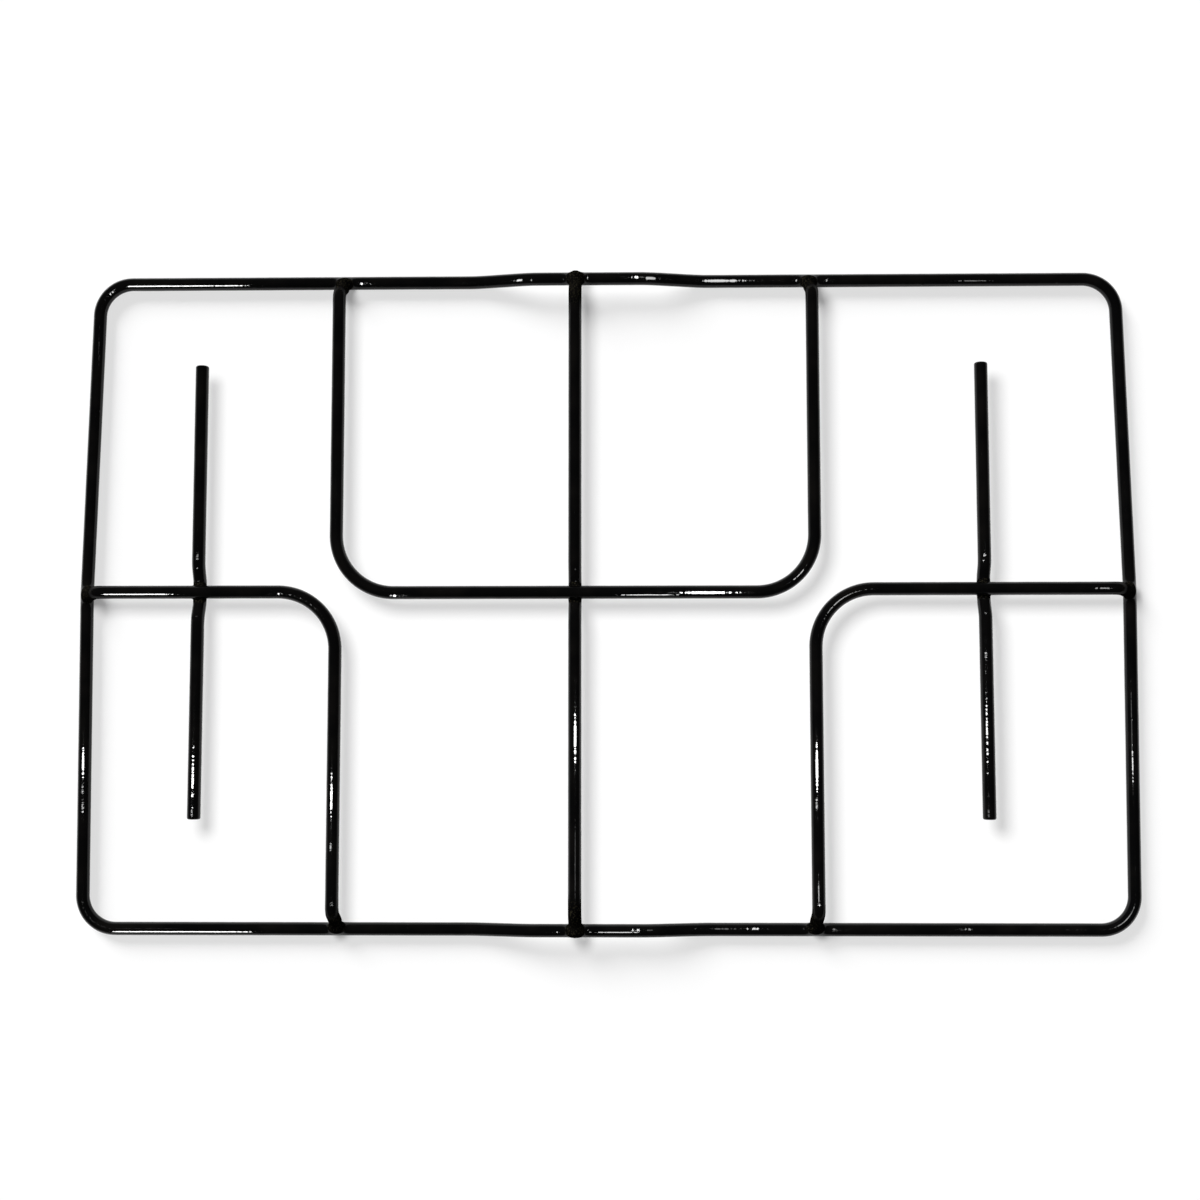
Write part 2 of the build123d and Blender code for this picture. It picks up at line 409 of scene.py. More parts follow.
class Support:
    """The stretch of a wire's centre line near a weld, as short straight pieces.

    A cut end stops short by the wire's radius, so that what is within that radius of the line ends
    where the wire does.
    """

    def __init__(self, route, weld, flow, radius):
        self.flow = flow
        self.is_frame = route.closed
        trim = 0 if route.closed else radius
        count = int(route.length / SUPPORT_STEP)
        places, _, _ = route.at(np.linspace(trim, route.length - trim, count))
        line = places[np.linalg.norm(places[:, :2] - weld, axis=1) < SUPPORT_REACH]
        self.starts = line[:-1]
        self.spans = np.diff(line, axis=0)

    def distance(self, places):
        """Distance of places from the nearest piece, with the share along it held from 0 to 1."""
        offset = places[..., None, :] - self.starts
        share = np.sum(offset * self.spans, axis=-1) / np.sum(self.spans**2, axis=-1)
        away = offset - np.clip(share, 0, 1)[..., None] * self.spans
        return np.linalg.norm(away, axis=-1).min(axis=-1)


def along_x(places, y):
    """Points of a run that goes left and right."""
    return [(x, y, z) for x, z in places]


def along_y(places, x):
    """Points of a run that goes front and rear."""
    return [(x, y, z) for y, z in places]


def end_on_rail(sizes, layout, tip, rail, rail_z, slope_run):
    """Places along a bar, and levels, from its tip on a rail in to the top of its slope."""
    outward = 1 if rail > 0 else -1
    foot = rail - outward * sizes.end_foot_length
    foot_z = rail_z + layout.seat_rise
    return [(tip, foot_z), (foot, foot_z), (foot - outward * slope_run, layout.bar_z)]


def dip_below(sizes, layout, crossing):
    """Places along a bar, and levels, of its dip below the wire that crosses it, rear to front."""
    floor_half = sizes.dip_floor_length / 2
    mouth_half = floor_half + sizes.dip_slope_run
    return [
        (crossing + mouth_half, layout.bar_z),
        (crossing + floor_half, layout.dip_z),
        (crossing - floor_half, layout.dip_z),
        (crossing - mouth_half, layout.bar_z),
    ]


def stepped_rail(sizes, layout):
    """Places along a front or rear rail, and levels, of its lifted middle, left to right."""
    top_half = sizes.step_top_length / 2
    foot_half = top_half + sizes.step_ramp_length
    return [
        (sizes.step_middle_x - foot_half, layout.rail_z),
        (sizes.step_middle_x - top_half, layout.step_z),
        (sizes.step_middle_x + top_half, layout.step_z),
        (sizes.step_middle_x + foot_half, layout.rail_z),
    ]


def frame_route(sizes, layout):
    """The closed frame, with a lifted middle in its front and rear rails and bowed side rails."""
    x, y, z = layout.rail_x, layout.rail_y, layout.rail_z
    rear_x = x - sizes.rear_corner_inset
    front_x = x - sizes.front_corner_inset
    step = stepped_rail(sizes, layout)
    points = [
        (-x, layout.arm_y["left"], z), (-front_x, -y, z), *along_x(step, -y), (front_x, -y, z),
        (x, layout.arm_y["right"], z), (rear_x, y, z), *along_x(reversed(step), y), (-rear_x, y, z),
    ]
    step_bends = [sizes.step_bend_radius] * 4
    bends = [sizes.side_bend_radius, sizes.corner_radius, *step_bends, sizes.corner_radius] * 2
    return Route(points, bends, closed=True)


def rear_u_route(sizes, layout):
    """The U, from the rear rail forward, across between the burners and back to the rear rail."""
    tip, rail, rail_z = layout.rear_tip, layout.rail_y, layout.rail_z
    rear_end = end_on_rail(sizes, layout, tip, rail, rail_z, sizes.end_slope_run)
    points = [
        *along_y(rear_end, layout.leg_x["left"]),
        (layout.leg_x["left"], layout.u_run_y, layout.bar_z),
        (layout.leg_x["right"], layout.u_run_y, layout.bar_z),
        *along_y(reversed(rear_end), layout.leg_x["right"]),
    ]
    end_bends = [sizes.end_bend_radius] * 2
    return Route(points, [*end_bends, sizes.bar_bend_radius, sizes.bar_bend_radius, *end_bends])


def elbow_route(sizes, layout, side):
    """An elbow, from its side rail in to its burner and forward to the front rail."""
    rail_z, slope_run = layout.rail_z, sizes.end_slope_run
    arm_y, leg_x = layout.arm_y[side], layout.leg_x[side]
    side_end = end_on_rail(
        sizes, layout, layout.side_tip[side], layout.side_rail[side], rail_z, slope_run
    )
    front_end = end_on_rail(sizes, layout, layout.front_tip, -layout.rail_y, rail_z, slope_run)
    points = [
        *along_x(side_end, arm_y),
        (leg_x, arm_y, layout.bar_z),
        *along_y(reversed(front_end), leg_x),
    ]
    end_bends = [sizes.end_bend_radius] * 2
    return Route(points, [*end_bends, sizes.bar_bend_radius, *end_bends])


def centre_route(sizes, layout):
    """The bar between the burners, dipping below the U's cross run."""
    rear_end, front_end = [
        end_on_rail(sizes, layout, tip, rail, layout.step_z, sizes.centre_slope_run)
        for tip, rail in zip(layout.centre_tips, (layout.rail_y, -layout.rail_y))
    ]
    dip = dip_below(sizes, layout, layout.u_run_y)
    points = along_y([*rear_end, *dip, *reversed(front_end)], layout.centre_x)
    end_bends = [sizes.end_bend_radius] * 2
    return Route(points, [*end_bends, *[sizes.dip_bend_radius] * 4, *end_bends])


def finger_route(sizes, layout, side):
    """A straight bar with free ends, dipping below its elbow's arm."""
    rear_tip, front_tip = layout.finger_tips[side]
    dip = dip_below(sizes, layout, layout.arm_y[side])
    places = [(rear_tip, layout.bar_z), *dip, (front_tip, layout.bar_z)]
    return Route(along_y(places, layout.finger_x[side]), [sizes.dip_bend_radius] * 4)


def ring_places(route, supports, diameter):
    """Distances along a route at which rings stand.

    The spacing is the least of three: a plain one, one that turns a bend by the same angle at each
    ring, and one that grows with the distance from a weld. Rings stand where the sum of
    (step / spacing) reaches whole numbers.
    """
    samples = np.linspace(0, route.length, int(route.length / SAMPLE_STEP) + 1)
    places, _, curvatures = route.at(samples)
    spacing = np.minimum(RING_SPACING, RING_TURN / np.maximum(curvatures, LEAST_CURVATURE))
    for support in supports:
        beyond = np.maximum(support.distance(places) - diameter, 0)
        spacing = np.minimum(spacing, WELD_RING_SPACING + WELD_RING_GROWTH * beyond)
    rings_so_far = np.concatenate([[0.0], np.cumsum(np.diff(samples) / spacing[1:])])
    rings = int(np.ceil(rings_so_far[-1]))
    return np.interp(np.linspace(0, rings_so_far[-1], rings + 1), rings_so_far, samples)


def with_cut_ends(distances, route_length, radius, rounding):
    """Adds the rings of both cut ends, and gives each ring's radius.

    A flat face grows to radius - rounding, and a quarter circle takes it out to the full radius:
    distance = rounding * (1 - sin(angle)) and radius - rounding * (1 - cos(angle)).
    """
    angles = np.linspace(np.pi / 2, 0, CAP_RINGS)
    edge_places = rounding * (1 - np.sin(angles))
    edge_radii = radius - rounding * (1 - np.cos(angles))
    face_radii = edge_radii[0] * np.arange(1, FACE_RINGS) / FACE_RINGS
    end_places = np.concatenate([np.zeros(FACE_RINGS - 1), edge_places])
    end_radii = np.concatenate([face_radii, edge_radii])
    margin = rounding + WELD_RING_SPACING / 2
    inner = distances[(distances > margin) & (distances < route_length - margin)]
    places = np.concatenate([end_places, inner, route_length - end_places[::-1]])
    radii = np.concatenate([end_radii, np.full(len(inner), radius), end_radii[::-1]])
    return places, radii


def uneven_coat(distances, angles, route_length, depth, seed):
    """How far the coat falls short of its full thickness, from 0 to depth.

    Slow sines along the wire, each turning about it, are averaged and scaled to 0 and 1. Whole
    numbers of waves fit in the route, so a closed wire has no seam.
    """
    random = np.random.default_rng(seed)
    total = 0.0
    for wave_length, waves_about in COAT_WAVES:
        waves = np.round(route_length / wave_length)
        phase = random.uniform(0, 2 * np.pi)
        turn = 2 * np.pi * waves * distances[:, None] / route_length
        total = total + np.sin(turn + waves_about * angles[None, :] + phase) / len(COAT_WAVES)
    return depth * (1 - total) / 2


def flow_onto(supports, centres, outward, radii):
    """Radii at which a wire's skin runs smoothly over into the wires that it is welded to.

    The skin is where the smooth minimum of two distances is zero, the one from the wire's own round
    and the one from the other wire's: min(a, b) - max(flow - |a - b|, 0)^2 / (4 * flow). A few steps
    along each radius find it. It stops where the other wire hides it.
    """
    reach = radii.copy()
    wire_radius = radii.max()
    for support in supports:
        flow = support.flow
        near = support.distance(centres) < 2 * wire_radius + flow
        plain = reach[near]
        skin = plain
        for _ in range(FLOW_STEPS):
            places = centres[near][:, None] + outward[near] * skin[..., None]
            own = skin - plain
            other = support.distance(places) - wire_radius
            overlap = np.maximum(flow - np.abs(own - other), 0)
            joined = np.minimum(own, other) - overlap**2 / (4 * flow)
            skin = np.clip(skin - FLOW_PACE * joined, plain, plain + FLOW_LIMIT * flow)
        reach[near] = skin
    return reach


def nearness_to_welds(supports, vertices, sizes):
    """How near each vertex is to a weld: 1 at the weld, easing to 0 in the last part of the reach.

    That part is 1 / steepness of it.
    """
    nearness = np.zeros(len(vertices))
    for support in supports:
        reach = sizes.end_reach if support.is_frame else sizes.weld_reach
        gap = support.distance(vertices) - sizes.wire_diameter / 2
        share = np.clip(WELD_STEEPNESS * (1 - gap / reach), 0, 1)
        nearness = np.maximum(nearness, share**2 * (3 - 2 * share))
    return nearness


def wire_faces(rings, closed):
    """Quads that join the rings of a wire, and fans that close its cut ends at two poles."""
    ring, place = np.meshgrid(np.arange(rings), np.arange(AROUND), indexing="ij")
    if not closed:
        ring, place = ring[:-1], place[:-1]
    next_ring = (ring + 1) % rings
    next_place = (place + 1) % AROUND
    quads = np.stack(
        [
            ring * AROUND + place,
            next_ring * AROUND + place,
            next_ring * AROUND + next_place,
            ring * AROUND + next_place,
        ],
        axis=-1,
    )
    faces = quads.reshape(-1, 4).tolist()
    if not closed:
        first_pole = rings * AROUND
        last_pole = first_pole + 1
        last_ring = first_pole - AROUND
        around = np.arange(AROUND)
        turned = (around + 1) % AROUND
        first_fan = [np.full(AROUND, first_pole), around, turned]
        last_fan = [np.full(AROUND, last_pole), last_ring + turned, last_ring + around]
        faces += np.stack(first_fan, axis=-1).tolist()
        faces += np.stack(last_fan, axis=-1).tolist()
    return faces


def wire_mesh(name, route, sizes, supports, rounding, seed):
    """A mesh of a round section carried along a route.

    At each ring, place = centre + radius * (side * cos(angle) + up * sin(angle)), where side is
    heading x Z and up is side x heading. Each vertex keeps its nearness to a weld and its way along
    the wire from half way, which has no jump on a closed one.
    """
    radius = sizes.wire_diameter / 2
    distances = ring_places(route, supports, sizes.wire_diameter)
    if route.closed:
        distances = distances[:-1]
        ring_radii = np.full(len(distances), radius)
    else:
        distances, ring_radii = with_cut_ends(distances, route.length, radius, rounding)
    centres, headings, _ = route.at(distances)
    sides = np.cross(headings, UP)
    sides = sides / np.linalg.norm(sides, axis=1)[:, None]
    ups = np.cross(sides, headings)
    angles = np.arange(AROUND) * 2 * np.pi / AROUND
    outward = sides[:, None] * np.cos(angles)[:, None] + ups[:, None] * np.sin(angles)[:, None]
    coat = uneven_coat(distances, angles, route.length, sizes.enamel_wave, seed)
    radii = ring_radii[:, None] * (1 - coat / radius)
    fade = (ring_radii / radius)[:, None] ** FACE_FADE
    flowed = flow_onto(supports, centres, outward, radii)
    radii = radii + (flowed - radii) * fade
    vertices = (centres[:, None] + outward * radii[..., None]).reshape(-1, 3)
    vertices = np.clip(vertices, *cad_box)
    along = np.repeat(np.abs(distances - route.length / 2), AROUND)
    if not route.closed:
        vertices = np.concatenate([vertices, centres[:1], centres[-1:]])
        along = np.append(along, [route.length / 2, route.length / 2])

    faces = wire_faces(len(distances), route.closed)
    mesh = bpy.data.meshes.new(name)
    mesh.from_pydata(vertices.tolist(), [], faces)
    mesh.polygons.foreach_set("use_smooth", np.ones(len(faces), bool))
    nearness = nearness_to_welds(supports, vertices, sizes)
    mesh.attributes.new(WELD_NEARNESS, "FLOAT", "POINT").data.foreach_set("value", nearness)
    mesh.attributes.new(ALONG_WIRE, "FLOAT", "POINT").data.foreach_set("value", along)
    mesh.update()
    return mesh


def add_wire(context, node, route, welded, rounding, seed):
    """Adds the enamelled wire that stands for a solid, riding on the one rigid body.

    Each wire that it is welded to is given by its route, the weld's place in plan and the flow.
    """
    sizes = context.scene.pan_support_wires
    name = "enamelled_" + node
    supports = [Support(*other, sizes.wire_diameter / 2) for other in welded]
    mesh = wire_mesh(name, route, sizes, supports, rounding, seed)
    mesh.materials.append(black_enamel(context.scene.pan_support_enamel))
    wire = bpy.data.objects.new(name, mesh)
    context.scene.collection.objects.link(wire)
    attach(wire, "root")
    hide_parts(node)
    return wire


class Signal:
    """One output of a node. Arithmetic on signals adds Math nodes beside it."""

    def __init__(self, sheet, socket):
        self.sheet = sheet
        self.socket = socket

    def math(self, operation, first, second):
        """Adds a Math node."""
        return self.sheet.add("ShaderNodeMath", {"operation": operation}, {0: first, 1: second})

    def __add__(self, other):
        return self.math("ADD", self, other)

    def __radd__(self, other):
        return self.math("ADD", other, self)

    def __sub__(self, other):
        return self.math("SUBTRACT", self, other)

    def __rsub__(self, other):
        return self.math("SUBTRACT", other, self)

    def __mul__(self, other):
        return self.math("MULTIPLY", self, other)

    def __rmul__(self, other):
        return self.math("MULTIPLY", other, self)


class NodeSheet:
    """A node tree, emptied, to which nodes are added one at a time."""

    def __init__(self, tree):
        self.tree = tree
        tree.nodes.clear()

    def add(self, kind, settings, sockets, output=0):
        """Adds a node: first its settings, then the values or links of its sockets."""
        node = self.tree.nodes.new(kind)
        for name, value in settings.items():
            setattr(node, name, value)
        for key, value in sockets.items():
            if isinstance(value, Signal):
                self.tree.links.new(value.socket, node.inputs[key])
            else:
                node.inputs[key].default_value = value
        if len(node.outputs) == 0:
            return None
        return Signal(self, node.outputs[output])

    def mix(self, factor, first, second):
        """A colour between two colours."""
        return self.add(
            "ShaderNodeMix", {"data_type": "RGBA"}, {0: factor, 6: first, 7: second}, output=2
        )

    def ease(self, value, low, high):
        """Takes a value from 0 at low to 1 at high, smoothly."""
        return self.add(
            "ShaderNodeMapRange",
            {"interpolation_type": "SMOOTHSTEP"},
            {"Value": value, "From Min": low, "From Max": high},
        )


def black_enamel(look):
    """Glossy black enamel, matt at the welds, with ripples, specks and slow changes of gloss."""
    name = "black_enamel"
    if name in bpy.data.materials:
        return bpy.data.materials[name]
    material = bpy.data.materials.new(name)
    material.use_nodes = True
    sheet = NodeSheet(material.node_tree)
    place = sheet.add("ShaderNodeTexCoord", {}, {}, output="Object")

    def noise(width, detail):
        """Noise from 0 to 1 with features of a width."""
        return sheet.add(
            "ShaderNodeTexNoise",
            {},
            {"Vector": place, "Scale": 1 / width, "Detail": detail, "Roughness": 0.5},
        )

    ripples = noise(look.peel_width, detail=1.0)
    swells = noise(SWELL_WIDTH * look.peel_width, detail=1.0)
    thin = sheet.ease(noise(look.thin_width, detail=3.0), *THIN_EASE)
    dull = sheet.ease(noise(look.dull_width, detail=2.0), *DULL_EASE)
    nib_distance = sheet.add(
        "ShaderNodeTexVoronoi",
        {"feature": "F1"},
        {"Vector": place, "Scale": 1 / look.nib_width, "Randomness": 1.0},
    )
    nibs = 1 - sheet.ease(nib_distance, 0.0, NIB_REACH)
    along = sheet.add("ShaderNodeAttribute", {"attribute_name": ALONG_WIRE}, {}, output="Fac")
    rings = sheet.add(
        "ShaderNodeTexNoise",
        {"noise_dimensions": "1D"},
        {"W": along, "Scale": 1 / look.ring_width, "Detail": 1.0, "Roughness": 0.5},
    )
    weld = sheet.add("ShaderNodeAttribute", {"attribute_name": WELD_NEARNESS}, {}, output="Fac")
    pits = noise(look.pit_width, detail=2.0)
    specks = sheet.ease(noise(look.speck_width, detail=1.0), *SPECK_EASE) * weld
    waves = ripples * look.peel_depth + swells * (SWELL_DEPTH * look.peel_depth)
    fine = waves + rings * look.ring_depth
    height = fine + nibs * look.nib_depth + pits * weld * look.pit_depth
    normal = sheet.add(
        "ShaderNodeBump", {}, {"Strength": 1.0, "Distance": 1.0, "Height": height}
    )
    coat = sheet.mix(thin, (*look.colour, 1), (*look.thin_colour, 1))
    glossy = sheet.add(
        "ShaderNodeBsdfPrincipled",
        {},
        {
            "Base Color": coat,
            "Roughness": look.roughness + dull * look.roughness_range,
            "IOR": look.ior,
            "Normal": normal,
        },
    )
    matt = sheet.add(
        "ShaderNodeBsdfPrincipled",
        {},
        {
            "Base Color": sheet.mix(specks, coat, (*look.weld_colour, 1)),
            "Roughness": 1.0,
            "Specular IOR Level": 0.0,
            "Normal": normal,
        },
    )
    surface = sheet.add("ShaderNodeMixShader", {}, {0: weld, 1: glossy, 2: matt})
    sheet.add("ShaderNodeOutputMaterial", {}, {"Surface": surface})
    return material


def white_floor(look):
    """Matt white that a little glow lifts to white where it is seen, so that it keeps its shadow."""
    material = bpy.data.materials.new("white_floor")
    material.use_nodes = True
    sheet = NodeSheet(material.node_tree)
    seen = sheet.add("ShaderNodeLightPath", {}, {}, output="Is Camera Ray")
    mirrored = sheet.add("ShaderNodeLightPath", {}, {}, output="Is Glossy Ray")
    through = sheet.add("ShaderNodeLightPath", {}, {}, output="Is Transmission Ray")
    surface = sheet.add(
        "ShaderNodeBsdfPrincipled",
        {},
        {
            "Base Color": (*look.floor_colour, 1),
            "Roughness": 1.0,
            "Specular IOR Level": 0.0,
            "Emission Color": sheet.mix(seen + mirrored + through, (0, 0, 0, 1), (1, 1, 1, 1)),
            "Emission Strength": look.floor_glow,
        },
    )
    sheet.add("ShaderNodeOutputMaterial", {}, {"Surface": surface})
    return material


def pale_surroundings(scene, look):
    """A room that is dim overhead and pale at the horizon."""
    world = bpy.data.worlds.new("pale_surroundings")
    world.use_nodes = True
    scene.world = world
    sheet = NodeSheet(world.node_tree)
    direction = sheet.add("ShaderNodeTexCoord", {}, {}, output="Generated")
    height = sheet.add("ShaderNodeSeparateXYZ", {}, {0: direction}, output="Z")
    overhead = sheet.ease(height, *SKY_EASE)
    top = (look.sky_top, look.sky_top, look.sky_top, 1)
    edge = (look.sky_edge, look.sky_edge, look.sky_edge, 1)
    sky = sheet.add(
        "ShaderNodeBackground", {}, {"Color": sheet.mix(overhead, edge, top), "Strength": 1.0}
    )
    sheet.add("ShaderNodeOutputWorld", {}, {"Surface": sky})


def wires_of(name, nodes):
    """A collection of some wires, for the lamps that only they mirror or block."""
    if name not in bpy.data.collections:
        group = bpy.data.collections.new(name)
        for node in nodes:
            group.objects.link(bpy.data.objects["enamelled_" + node])
    return bpy.data.collections[name]


def soft_key(look):
    """A round lamp beside the camera, which lights the floor evenly.

    A ray of length r meets the floor at a slant of height / r, so the light grows with r / height.
    The bars' shadows lie a little to their right and front all over the picture.
    """
    lamp = bpy.data.lights.new("key_light", "POINT")
    lamp.energy = look.key_watts
    lamp.shadow_soft_size = look.key_radius
    lamp.use_nodes = True
    sheet = NodeSheet(lamp.node_tree)
    steady = sheet.add("ShaderNodeLightFalloff", {}, {"Strength": 1.0}, output="Constant")
    reach = sheet.add("ShaderNodeLightPath", {}, {}, output="Ray Length")
    light = sheet.add("ShaderNodeEmission", {}, {"Strength": steady * reach * (1 / KEY_PLACE[2])})
    sheet.add("ShaderNodeOutputLight", {}, {"Surface": light})
    key = bpy.data.objects.new("key_light", lamp)
    key.location = KEY_PLACE
    key.visible_glossy = False
    key.light_linking.blocker_collection = wires_of("bars", BARS)
    return key


def low_light(look):
    """A wide low sun. In it the frame, which lies on the floor, throws a shadow as long as the bars'."""
    lamp = bpy.data.lights.new("low_light", "SUN")
    lamp.energy = look.low_strength
    lamp.angle = look.low_angle
    low = bpy.data.objects.new("low_light", lamp)
    low.rotation_euler = Vector(LOW_HEADING).to_track_quat("-Z", "Y").to_euler()
    low.visible_glossy = False
    low.light_linking.blocker_collection = wires_of("outer_frame", ["outer_frame"])
    return low


def streak_lamp(sizes, look, name, streak):
    """An oval lamp that the camera sees mirrored in a wire as a streak.

    The wire's normal there leans to the right of the heading from the way to the camera. With v that
    way and n the normal, the lamp hangs along 2 (n . v) n - v. Its length is the streak's, grown by
    the way that the mirrored lamp is further off. Its width is what a round wire turns by: a share s
    of the diameter takes in normals up to asin(s) each way, and the mirrored way turns by twice that.
    The spread takes in that turn and a margin, and a lamp that is long for its distance has a narrow
    one, which keeps it off the rest of the wire. At half the spread h it makes the middle of the beam
    brighter by tan(h) / (tan(h) - h), which the energy allows for.
    """
    heading = streak.heading * DEGREE
    lean = streak.lean * DEGREE
    middle = Vector(streak.middle) * MILLIMETRE
    length = streak.length * MILLIMETRE
    width = streak.width * MILLIMETRE
    distance = streak.distance * MILLIMETRE
    forward = Vector((np.cos(heading), np.sin(heading), 0))
    to_camera = Vector(CAMERA_PLACE) - middle
    nearest = (to_camera - forward * forward.dot(to_camera)).normalized()
    normal = forward.cross(nearest) * np.sin(lean) + nearest * np.cos(lean)
    point = middle + normal * (sizes.wire_diameter / 2)
    to_camera = Vector(CAMERA_PLACE) - point
    view = to_camera.normalized()
    ray = 2 * normal.dot(view) * normal - view
    turn = 2 * np.arcsin(width / sizes.wire_diameter)
    half_spread = LEAST_SPREAD / 2
    if length < LONG_LAMP * distance:
        half_spread = max(half_spread, SPREAD_MARGIN * turn)
    gain = np.tan(half_spread) / (np.tan(half_spread) - half_spread)

    lamp = bpy.data.lights.new(name, "AREA")
    lamp.shape = "ELLIPSE"
    lamp.size = length * (1 + distance / to_camera.length)
    lamp.size_y = 2 * distance * np.tan(turn)
    lamp.spread = 2 * half_spread
    area = np.pi / 4 * lamp.size * lamp.size_y
    lamp.energy = streak.share * look.streak_glow / gain * np.pi * area
    hung = bpy.data.objects.new(name, lamp)
    along = (forward - ray * forward.dot(ray)).normalized()
    turned = Matrix((along, ray.cross(along), ray)).transposed()
    hung.matrix_world = Matrix.Translation(point + ray * distance) @ turned.to_4x4()
    hung.visible_diffuse = False
    hung.light_linking.receiver_collection = wires_of(streak.wire, [streak.wire])
    return hung


class PANSUPPORT_OT_outer_frame(bpy.types.Operator):
    """Add the closed frame that lies on the hob, with a lifted middle in its front and rear rails"""

    bl_idname = "pan_support.outer_frame"
    bl_label = "Outer Frame"

    def execute(self, context):
        sizes = context.scene.pan_support_wires
        layout = Layout(sizes)
        rear_u = rear_u_route(sizes, layout)
        centre = centre_route(sizes, layout)
        flow = sizes.weld_flow
        welded = [(centre, (layout.centre_x, y), flow) for y in (layout.rail_y, -layout.rail_y)]
        for side in SIDES:
            elbow = elbow_route(sizes, layout, side)
            welded.append((rear_u, (layout.leg_x[side], layout.rail_y), flow))
            welded.append((elbow, (layout.side_rail[side], layout.arm_y[side]), flow))
            welded.append((elbow, (layout.leg_x[side], -layout.rail_y), flow))
        route = frame_route(sizes, layout)
        add_wire(context, "outer_frame", route, welded, sizes.end_rounding, seed=1)
        return {"FINISHED"}


class PANSUPPORT_OT_rear_u_bar(bpy.types.Operator):
    """Add the U with its two legs on the rear rail and its cross run between the burners"""

    bl_idname = "pan_support.rear_u_bar"
    bl_label = "Rear U Bar"

    def execute(self, context):
        sizes = context.scene.pan_support_wires
        layout = Layout(sizes)
        rails = frame_route(sizes, layout)
        centre = centre_route(sizes, layout)
        welded = [(rails, (layout.leg_x[side], layout.rail_y), sizes.weld_flow) for side in SIDES]
        welded.append((centre, (layout.centre_x, layout.u_run_y), sizes.cross_flow))
        route = rear_u_route(sizes, layout)
        add_wire(context, "rear_u_bar", route, welded, sizes.weld_rounding, seed=2)
        return {"FINISHED"}


class PANSUPPORT_OT_elbow_bars(bpy.types.Operator):
    """Add both elbows, each from a side rail in to its burner and forward to the front rail"""

    bl_idname = "pan_support.elbow_bars"
    bl_label = "Elbow Bars"

    def execute(self, context):
        sizes = context.scene.pan_support_wires
        layout = Layout(sizes)
        rails = frame_route(sizes, layout)
        for seed, side in enumerate(SIDES, start=3):
            arm_y = layout.arm_y[side]
            finger = finger_route(sizes, layout, side)
            welded = [
                (rails, (layout.side_rail[side], arm_y), sizes.weld_flow),
                (rails, (layout.leg_x[side], -layout.rail_y), sizes.weld_flow),
                (finger, (layout.finger_x[side], arm_y), sizes.cross_flow),
            ]
            route = elbow_route(sizes, layout, side)
            add_wire(context, side + "_elbow_bar", route, welded, sizes.weld_rounding, seed)
        return {"FINISHED"}


class PANSUPPORT_OT_centre_bar(bpy.types.Operator):
    """Add the bar between the burners, dipping below the U's cross run"""

    bl_idname = "pan_support.centre_bar"
    bl_label = "Centre Bar"

    def execute(self, context):
        sizes = context.scene.pan_support_wires
        layout = Layout(sizes)
        rails = frame_route(sizes, layout)
        rear_u = rear_u_route(sizes, layout)
        welded = [
            (rails, (layout.centre_x, layout.rail_y), sizes.weld_flow),
            (rear_u, (layout.centre_x, layout.u_run_y), sizes.cross_flow),
            (rails, (layout.centre_x, -layout.rail_y), sizes.weld_flow),
        ]
        route = centre_route(sizes, layout)
        add_wire(context, "centre_bar", route, welded, sizes.weld_rounding, seed=5)
        return {"FINISHED"}


class PANSUPPORT_OT_finger_bars(bpy.types.Operator):
    """Add both straight bars with free ends, dipping below the elbows' arms"""

    bl_idname = "pan_support.finger_bars"
    bl_label = "Finger Bars"

    def execute(self, context):
        sizes = context.scene.pan_support_wires
        layout = Layout(sizes)
        for seed, side in enumerate(SIDES, start=6):
            elbow = elbow_route(sizes, layout, side)
            welded = [(elbow, (layout.finger_x[side], layout.arm_y[side]), sizes.cross_flow)]
            route = finger_route(sizes, layout, side)
            add_wire(context, side + "_finger_bar", route, welded, sizes.end_rounding, seed)
        return {"FINISHED"}


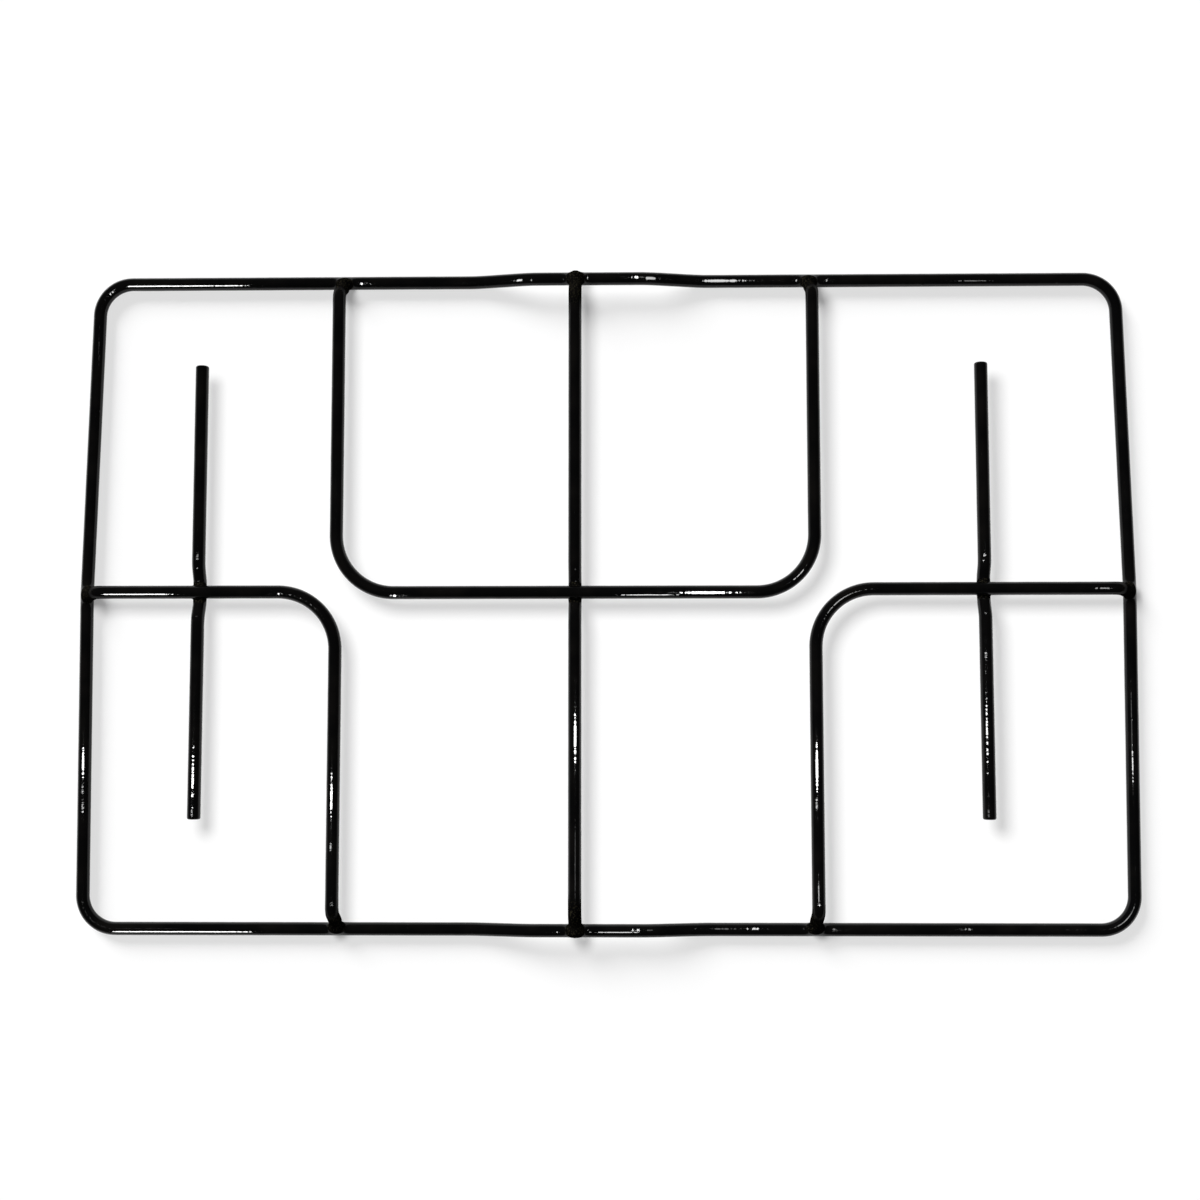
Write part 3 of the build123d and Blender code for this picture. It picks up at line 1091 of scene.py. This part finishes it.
class PANSUPPORT_OT_stage(bpy.types.Operator):
    """Add the white floor, the surroundings, the lamps and the camera"""

    bl_idname = "pan_support.stage"
    bl_label = "Stage"

    def execute(self, context):
        scene = context.scene
        look = scene.pan_support_stage
        half, level = FLOOR_HALF, FLOOR_LEVEL
        corners = [(-half, -half, level), (half, -half, level), (half, half, level), (-half, half, level)]
        mesh = bpy.data.meshes.new("studio_floor")
        mesh.from_pydata(corners, [], [(0, 1, 2, 3)])
        mesh.materials.append(white_floor(look))
        floor = bpy.data.objects.new("studio_floor", mesh)
        scene.collection.objects.link(floor)
        pale_surroundings(scene, look)

        lamps = [soft_key(look), low_light(look)]
        sizes = scene.pan_support_wires
        for number, row in enumerate(STREAKS, start=1):
            lamps.append(streak_lamp(sizes, look, f"streak_lamp_{number}", Streak(*row)))
        for lamp in lamps:
            lamp.visible_camera = False
            scene.collection.objects.link(lamp)

        camera = bpy.data.cameras.new("camera")
        camera.lens = CAMERA_LENS
        camera.sensor_width = CAMERA_SENSOR
        camera.clip_start = CAMERA_NEAR
        view = bpy.data.objects.new("camera", camera)
        view.location = CAMERA_PLACE
        view.rotation_euler = Euler(CAMERA_TURN, "XYZ")
        scene.collection.objects.link(view)
        scene.camera = view
        scene.view_settings.view_transform = "Standard"
        return {"FINISHED"}


PIECES = (
    PANSUPPORT_OT_outer_frame,
    PANSUPPORT_OT_rear_u_bar,
    PANSUPPORT_OT_elbow_bars,
    PANSUPPORT_OT_centre_bar,
    PANSUPPORT_OT_finger_bars,
    PANSUPPORT_OT_stage,
)


class PANSUPPORT_PT_sidebar(bpy.types.Panel):
    """Lists the pieces and the stage"""

    bl_idname = "PANSUPPORT_PT_sidebar"
    bl_label = "Hob Pan Support"
    bl_space_type = "VIEW_3D"
    bl_region_type = "UI"
    bl_category = "Pan Support"

    def draw(self, context):
        for piece in PIECES:
            self.layout.operator(piece.bl_idname)


CLASSES = (PanSupportWires, PanSupportEnamel, PanSupportStage, *PIECES, PANSUPPORT_PT_sidebar)


def register():
    """Adds the classes, and their properties to the scene."""
    for kind in CLASSES:
        bpy.utils.register_class(kind)
    bpy.types.Scene.pan_support_wires = PointerProperty(type=PanSupportWires)
    bpy.types.Scene.pan_support_enamel = PointerProperty(type=PanSupportEnamel)
    bpy.types.Scene.pan_support_stage = PointerProperty(type=PanSupportStage)


def unregister():
    """Takes away what register adds."""
    del bpy.types.Scene.pan_support_stage
    del bpy.types.Scene.pan_support_enamel
    del bpy.types.Scene.pan_support_wires
    for kind in reversed(CLASSES):
        bpy.utils.unregister_class(kind)


def main():
    """Makes every piece and the stage."""
    register()
    bpy.ops.pan_support.outer_frame()
    bpy.ops.pan_support.rear_u_bar()
    bpy.ops.pan_support.elbow_bars()
    bpy.ops.pan_support.centre_bar()
    bpy.ops.pan_support.finger_bars()
    bpy.ops.pan_support.stage()


if __name__ == "__main__":
    main()
